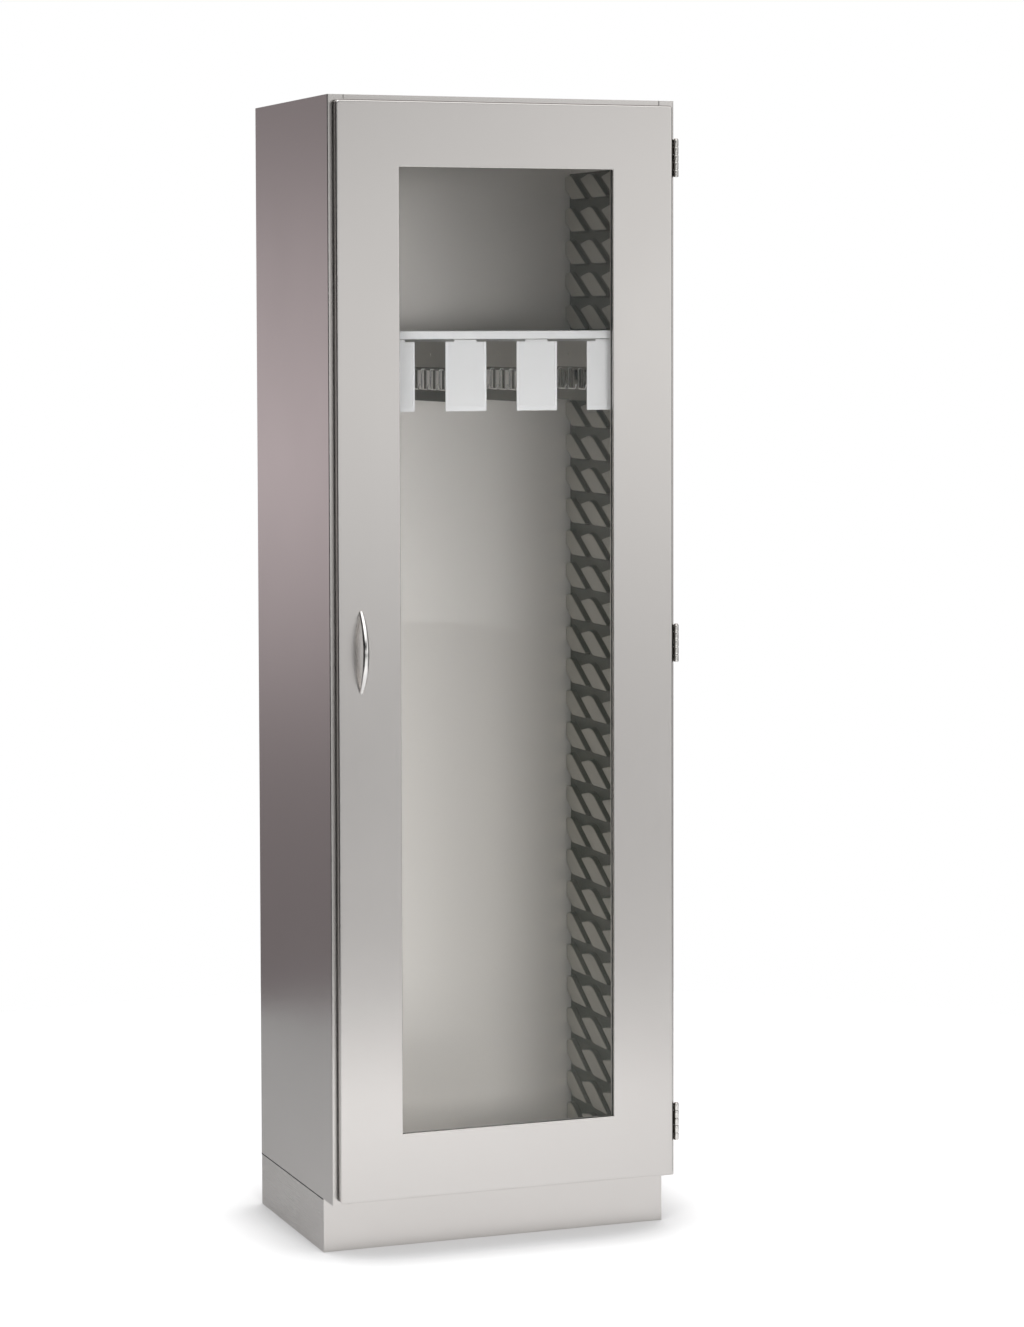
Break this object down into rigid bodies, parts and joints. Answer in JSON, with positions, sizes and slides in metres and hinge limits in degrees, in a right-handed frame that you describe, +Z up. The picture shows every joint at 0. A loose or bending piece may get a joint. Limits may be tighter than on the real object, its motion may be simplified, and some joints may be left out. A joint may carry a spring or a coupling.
{
  "type": "catheter storage cabinet",
  "caption": "Tall stainless steel cabinet on a recessed plinth, with a glazed door on butt hinges, a shelf between moulded side liners and sliding hangers with rows of hooks.",
  "frame": {"origin": "on the floor, midway between the sides of the case and midway from its back to the front of the handle", "axes": "+X to the right seen from the front, +Y to the back, +Z up"},
  "size_m": [0.6871, 0.512, 2.134],
  "materials": {
    "stainless_steel": "satin stainless steel, fine brushed grain",
    "plinth_steel": "satin stainless steel",
    "inner_sheet": "satin stainless steel inside the case",
    "moulded_liner": "warm grey moulded plastic, fine texture",
    "white_enamel": "white powder coat",
    "hanger_plate_steel": "satin metal",
    "hook_band_steel": "dark brown-grey coat",
    "hook_wire": "bright drawn wire",
    "blank_card": "matt white card",
    "grey_nylon": "moulded nylon",
    "clear_glass": "clear float glass",
    "black_rubber": "matt",
    "satin_handle": "satin, polished along its length",
    "hinge_steel": "satin"
  },
  "bodies": {
    "cabinet": {"side_panel_left": "stainless_steel", "side_panel_right": "stainless_steel", "top_panel": "stainless_steel", "bottom_panel": "stainless_steel", "back_panel": "inner_sheet", "side_uprights": "inner_sheet", "plinth_front": "plinth_steel", "plinth_rear": "plinth_steel", "plinth_left": "plinth_steel", "plinth_right": "plinth_steel", "plinth_gussets": "plinth_steel", "levelling_feet": "plinth_steel", "liner_left": "moulded_liner", "liner_right": "moulded_liner", "liner_fillers": "inner_sheet", "shelf": "white_enamel", "shelf_clips": "grey_nylon", "hanger_guides": "inner_sheet", "magnetic_catches": "grey_nylon", "hinge_case_leaves": "hinge_steel", "hinge_pins": "hinge_steel"},
    "door": {"door_outer_skin": "stainless_steel", "door_inner_pan": "stainless_steel", "door_stiffeners": "stainless_steel", "door_glass": "clear_glass", "glazing_gasket": "black_rubber", "glass_retainer": "stainless_steel", "door_seal": "black_rubber", "handle": "satin_handle", "handle_screws": "hinge_steel", "strike_plates": "hinge_steel", "hinge_door_leaves": "hinge_steel"},
    "hanger_1": {"hanger_1_runner": "white_enamel", "hanger_1_glides": "grey_nylon", "hanger_1_plate": "hanger_plate_steel", "hanger_1_hook_band": "hook_band_steel", "hanger_1_hooks": "hook_wire", "hanger_1_label_holder": "white_enamel", "hanger_1_label_card": "blank_card"},
    "hanger_2": {"hanger_2_runner": "white_enamel", "hanger_2_glides": "grey_nylon", "hanger_2_plate": "hanger_plate_steel", "hanger_2_hook_band": "hook_band_steel", "hanger_2_hooks": "hook_wire", "hanger_2_label_holder": "white_enamel", "hanger_2_label_card": "blank_card"},
    "hanger_3": {"hanger_3_runner": "white_enamel", "hanger_3_glides": "grey_nylon", "hanger_3_plate": "hanger_plate_steel", "hanger_3_hook_band": "hook_band_steel", "hanger_3_hooks": "hook_wire", "hanger_3_label_holder": "white_enamel", "hanger_3_label_card": "blank_card"},
    "hanger_4": {"hanger_4_runner": "white_enamel", "hanger_4_glides": "grey_nylon", "hanger_4_plate": "hanger_plate_steel", "hanger_4_hook_band": "hook_band_steel", "hanger_4_hooks": "hook_wire", "hanger_4_label_holder": "white_enamel", "hanger_4_label_card": "blank_card"}
  },
  "joints": [
    {"name": "door_swing", "type": "hinge", "parent": "cabinet", "child": "door", "pos_m": [0.3425, -0.20925, 1.1155], "axis": [0, 0, 1], "range_deg": [0, 180]},
    {"name": "hanger_1_slide", "type": "slide", "parent": "cabinet", "child": "hanger_1", "axis": [0, -1, 0], "range_m": [0, 0.26]},
    {"name": "hanger_2_slide", "type": "slide", "parent": "cabinet", "child": "hanger_2", "axis": [0, -1, 0], "range_m": [0, 0.26]},
    {"name": "hanger_3_slide", "type": "slide", "parent": "cabinet", "child": "hanger_3", "axis": [0, -1, 0], "range_m": [0, 0.26]},
    {"name": "hanger_4_slide", "type": "slide", "parent": "cabinet", "child": "hanger_4", "axis": [0, -1, 0], "range_m": [0, 0.26]}
  ],
  "couplings": [
    {"joint": "hanger_1_slide", "follows": "door_swing", "m_per_rad": 0.0827},
    {"joint": "hanger_2_slide", "follows": "door_swing", "m_per_rad": 0.0827},
    {"joint": "hanger_3_slide", "follows": "door_swing", "m_per_rad": 0.0827},
    {"joint": "hanger_4_slide", "follows": "door_swing", "m_per_rad": 0.0827}
  ]
}
